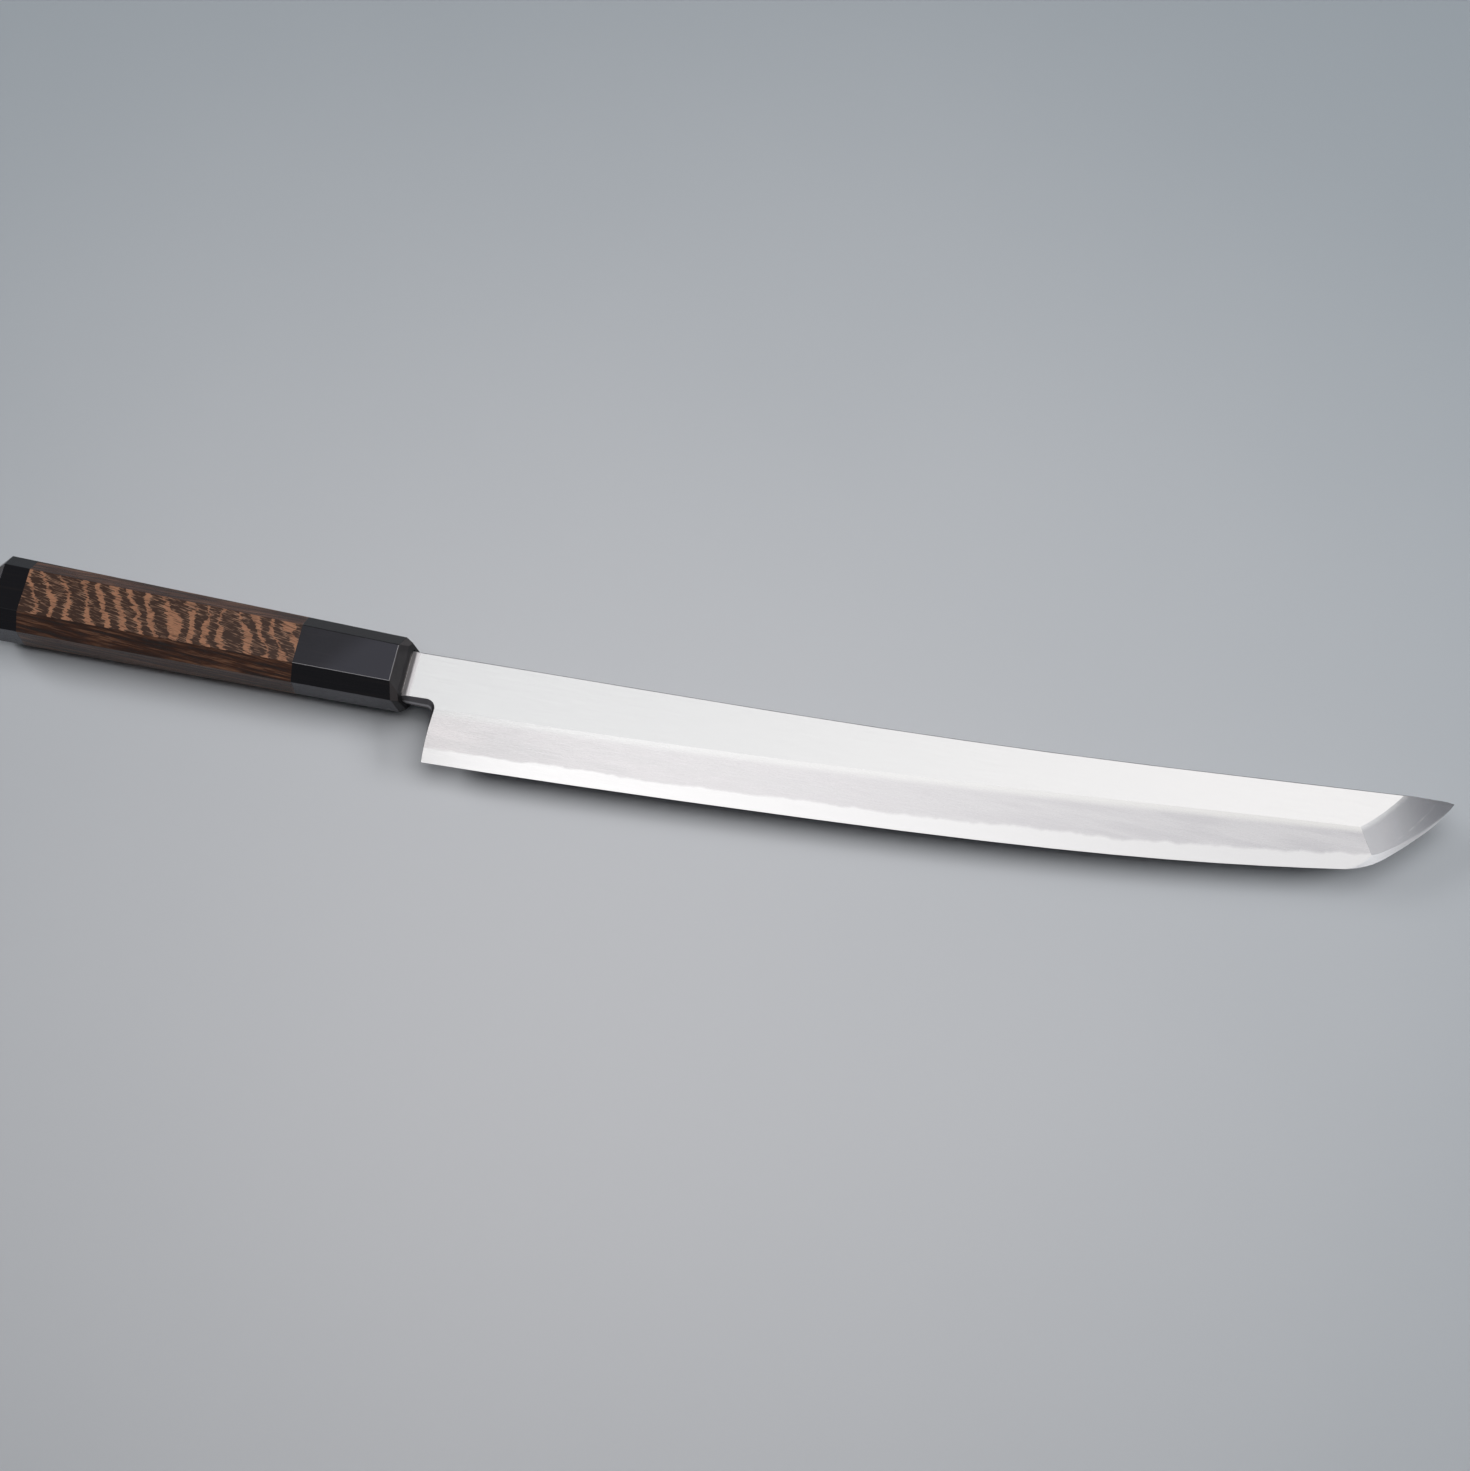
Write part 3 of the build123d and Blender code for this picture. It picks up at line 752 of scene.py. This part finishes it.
    def side_figure(self, graph: Graph, here: Socket) -> Socket:
        """Draw the straight streaks of the quarter-sawn sides.

        Args:
            graph: The material's graph.
            here: The place in millimetres.

        Returns:
            The colour's socket.
        """
        ahead, across, above = graph.parts(here)
        slanted = graph.math("MULTIPLY_ADD", ahead, self.streak_slant, above)
        along = graph.joined(ahead, across, slanted)
        streaks = graph.noise(along, self.streaks)
        fine = graph.step(graph.noise(along, self.fine), self.fine_span)
        light = graph.math("MULTIPLY", graph.step(streaks, self.streak_span), fine)
        shadowed = graph.blend(graph.step(streaks, self.shadow_span), self.dark_red, self.vessel)
        return graph.blend(graph.math("MULTIPLY", light, self.side_share), shadowed, self.tan)


@dataclass(frozen=True)
class PlainDowelWood(Finish):
    """Pale straight-grained wood of the hidden dowels."""

    pale: Colour = (0.58, 0.42, 0.26)
    grain: Colour = (0.40, 0.26, 0.14)
    lines: Pattern = Pattern(1.0, 3.0, (0.06, 1.4, 1.4))
    line_span: Span = (0.4, 0.65)
    roughness: float = 0.55
    line_roughness: float = 0.1
    bump_depth: float = 0.00005

    def make(self) -> bpy.types.Material:
        """Build the material.

        Returns:
            The finished material.
        """
        material, graph, shader = self.start()
        lines = graph.step(graph.noise(self.place(graph), self.lines), self.line_span)
        rough = graph.math("MULTIPLY_ADD", lines, self.line_roughness, self.roughness)
        graph.feed(shader.inputs["Base Color"], graph.blend(lines, self.pale, self.grain))
        graph.feed(shader.inputs["Roughness"], rough)
        self.bump(graph, shader, lines, self.bump_depth)
        return material


@dataclass(frozen=True)
class SealResin(Finish):
    """Dark resin that closes the ferrule's mouth, slightly cloudy."""

    dark: Colour = (0.012, 0.010, 0.010)
    cloudy: Colour = (0.035, 0.028, 0.024)
    cloud: Pattern = Pattern(0.8, 3.0)
    cloud_span: Span = (0.3, 0.7)
    roughness_range: Span = (0.3, 0.5)
    bump_depth: float = 0.00004

    def make(self) -> bpy.types.Material:
        """Build the material.

        Returns:
            The finished material.
        """
        material, graph, shader = self.start()
        cloud = graph.noise(self.place(graph), self.cloud)
        graph.feed(shader.inputs["Base Color"], graph.blend(cloud, self.dark, self.cloudy))
        graph.feed(shader.inputs["Roughness"], graph.step(cloud, self.cloud_span, self.roughness_range))
        self.bump(graph, shader, cloud, self.bump_depth)
        return material


@dataclass
class Assembly:
    """One sub-assembly: the CAD nodes that it owns and the finish of each."""

    nodes: dict[str, bpy.types.Object]
    effects: Effects

    def finishes(self) -> dict[str, Finish]:
        """Name the finish of each node; each assembly has its own."""
        raise NotImplementedError

    def dress(self) -> None:
        """Put each node's finish into all of its material slots."""
        for name, finish in self.finishes().items():
            material = finish.make()
            for slot in self.nodes[name].material_slots:
                slot.material = material
            LOG.info("%s wears %s", name, material.name)


@dataclass
class Blade(Assembly):
    """Soft iron and edge steel, forge welded into one blade."""

    def finishes(self) -> dict[str, Finish]:
        """Give both layers the same ground finish, so that it runs on across their boundary.

        Returns:
            The finish of each layer, by node.
        """
        return {
            "blade_soft_iron": StoneGroundSteel(self.effects, "ground_soft_iron"),
            "blade_edge_steel": StoneGroundSteel(self.effects, "ground_edge_steel"),
        }


@dataclass
class Handle(Assembly):
    """Horn ferrule, wenge body and horn cap with the dowels and the seal inside them."""

    cap_black: Colour = (0.006, 0.0056, 0.0060)
    # The cap's painted highlight on its top arrises, faint
    cap_arris_highlight: Colour = (0.02, 0.02, 0.02)

    def finishes(self) -> dict[str, Finish]:
        """Name the finish of each piece of the handle.

        Returns:
            The finishes, by node.
        """
        cap = PolishedHorn(self.effects, "polished_horn_cap", black=self.cap_black, arris_highlight=self.cap_arris_highlight)
        return {
            "ferrule": PolishedHorn(self.effects, "polished_horn_ferrule"),
            "end_cap": cap,
            "handle_body": PolishedWenge(self.effects, "polished_wenge"),
            "core_dowel": PlainDowelWood(self.effects, "core_dowel_wood"),
            "rear_dowel": PlainDowelWood(self.effects, "rear_dowel_wood"),
            "tang_seal": SealResin(self.effects, "mouth_seal_resin"),
        }


@dataclass
class Table:
    """Plain pale table top under the knife, with a painted pool of light round one place."""

    half_size: float = 1.5
    butt: float = -0.07
    fall: float = 0.015
    # Painted pool of light: lightest round this place, darker and bluer away from it
    light_pool_centre: Triple = (0.145, -0.12, 0.0)
    light_pool_colour: Colour = (0.74, 0.75, 0.78)
    colour: Colour = (0.42, 0.47, 0.515)
    shade_run: Span = (0.0, 0.56)
    patches: Pattern = Pattern(6.0, 3.0)
    patch_reach: float = 0.06
    roughness: float = 0.6
    gloss: float = 0.2

    def build(self) -> bpy.types.Object:
        """Make the table top, which touches the handle's butt and falls away gently towards the point.

        Returns:
            The table top.
        """
        size = self.half_size
        near_z = (self.butt + size) * self.fall
        far_z = (self.butt - size) * self.fall
        corners = [(-size, -size, near_z), (size, -size, far_z), (size, size, far_z), (-size, size, near_z)]
        mesh = bpy.data.meshes.new("table_top")
        mesh.from_pydata(corners, [], [(0, 1, 2, 3)])
        table = bpy.data.objects.new("table_top", mesh)
        bpy.context.collection.objects.link(table)
        mesh.materials.append(self.material())
        return table

    def material(self) -> bpy.types.Material:
        """Make the matt painted surface, whose colour carries a painted pool of light.

        Returns:
            The table's material.
        """
        material = bpy.data.materials.new("matt_table")
        material.use_nodes = True
        graph = Graph(material.node_tree)
        shader = material.node_tree.nodes["Principled BSDF"]
        here = graph.node("ShaderNodeTexCoord").outputs["Object"]
        # Painted pool of light, lightest round one place
        away = graph.vector("DISTANCE", here, self.light_pool_centre).outputs["Value"]
        spread = graph.math("MULTIPLY_ADD", graph.ripple(here, self.patches), self.patch_reach, away)
        shade = graph.step(spread, self.shade_run)
        graph.feed(shader.inputs["Base Color"], graph.blend(shade, self.light_pool_colour, self.colour))
        shader.inputs["Roughness"].default_value = self.roughness
        shader.inputs["Specular IOR Level"].default_value = self.gloss
        return material


@dataclass
class Softbox:
    """A rectangular studio lamp: places and sizes in metres, power in watts, its turn in degrees."""

    name: str
    place: Triple
    target: Triple
    width: float
    depth: float
    power: float
    turn: float = 0.0

    def build(self) -> bpy.types.Object:
        """Make the lamp, aim it at its target and turn it about its own axis.

        Returns:
            The lamp.
        """
        data = bpy.data.lights.new(self.name, "AREA")
        data.shape = "RECTANGLE"
        data.size = self.width
        data.size_y = self.depth
        data.energy = self.power
        lamp = bpy.data.objects.new(self.name, data)
        bpy.context.collection.objects.link(lamp)
        lamp.location = self.place
        lamp.rotation_mode = "QUATERNION"
        aim = (Vector(self.target) - Vector(self.place)).to_track_quat("-Z", "Y")
        lamp.rotation_quaternion = aim @ Quaternion((0.0, 0.0, 1.0), math.radians(self.turn))
        return lamp


@dataclass
class Studio:
    """Table, lamps and the dim room, which the camera and polished surfaces see as pale."""

    table: Table = field(default_factory=Table)
    softboxes: tuple[Softbox, ...] = (
        Softbox("overhead_softbox", (0.305, 0.13, 0.8), (0.305, 0.13, 0.0), 0.87, 0.74, 3.2, 12.0),
        Softbox("point_card", (0.925, -0.005, 0.8), (0.925, -0.005, 0.0), 0.29, 0.31, 0.29),
        Softbox("right_softbox", (1.55, 0.24, 0.8), (0.15, 0.0, 0.0), 0.8, 0.4, 7.5),
        Softbox("left_softbox", (-1.15, 0.24, 0.8), (0.15, 0.0, 0.0), 0.8, 0.4, 7.5),
    )
    room: Colour = (0.022, 0.023, 0.025)
    room_shown: Colour = (0.39, 0.40, 0.42)

    def build(self) -> None:
        """Make the table, the lamps and the room's light."""
        LOG.info("stage piece %s", self.table.build().name)
        for softbox in self.softboxes:
            LOG.info("lamp %s", softbox.build().name)
        world = bpy.data.worlds.new("studio_room")
        world.use_nodes = True
        world.node_tree.nodes.clear()
        graph = Graph(world.node_tree)
        rays = graph.node("ShaderNodeLightPath").outputs
        seen = graph.math("MAXIMUM", rays["Is Camera Ray"], rays["Is Glossy Ray"])
        seen = graph.math("MAXIMUM", seen, rays["Is Transmission Ray"])
        colour = graph.blend(seen, self.room, self.room_shown)
        background = graph.node("ShaderNodeBackground", {"Color": colour, "Strength": 1.0})
        graph.node("ShaderNodeOutputWorld", {0: background.outputs[0]})
        bpy.context.scene.world = world


@dataclass
class PhotoCamera:
    """Camera at the photograph's viewpoint, in the knife's own frame, with its focal length in pixels."""

    place: Triple = (177.22, -300.53, 833.81)
    right: Triple = (0.97892, 0.2041, -0.00742)
    up: Triple = (-0.18883, 0.91831, 0.34792)
    focal_pixels: float = 2772.2
    frame_pixels: float = 1471.0
    sensor: float = 36.0
    clip_start: float = 0.01
    clip_end: float = 50.0

    def build(self) -> bpy.types.Object:
        """Make the camera and set it as the scene's.

        Returns:
            The camera.
        """
        data = bpy.data.cameras.new("photo_camera")
        data.sensor_width = self.sensor
        data.lens = self.focal_pixels / self.frame_pixels * self.sensor
        data.clip_start = self.clip_start
        data.clip_end = self.clip_end
        camera = bpy.data.objects.new("photo_camera", data)
        bpy.context.collection.objects.link(camera)
        to_frame = Matrix.Rotation(AXIS_PITCH, 3, "Y")
        right = Vector(self.right).normalized()
        up = Vector(self.up) - Vector(self.up).dot(right) * right
        up.normalize()
        turn = to_frame @ Matrix((right, up, right.cross(up))).transposed()
        spot = AXIS_ORIGIN + to_frame @ (Vector(self.place) / MILLIMETRES)
        camera.matrix_world = Matrix.Translation(spot) @ turn.to_4x4()
        bpy.context.scene.camera = camera
        return camera


def main() -> None:
    """Load the knife, dress it, and build the studio and the camera."""
    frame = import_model()
    effects = Effects.build()
    for assembly in (Blade(frame["nodes"], effects), Handle(frame["nodes"], effects)):
        assembly.dress()
    Studio().build()
    LOG.info("camera %s", PhotoCamera().build().name)
    bpy.context.scene.view_settings.view_transform = "Standard"


if __name__ == "__main__":
    main()
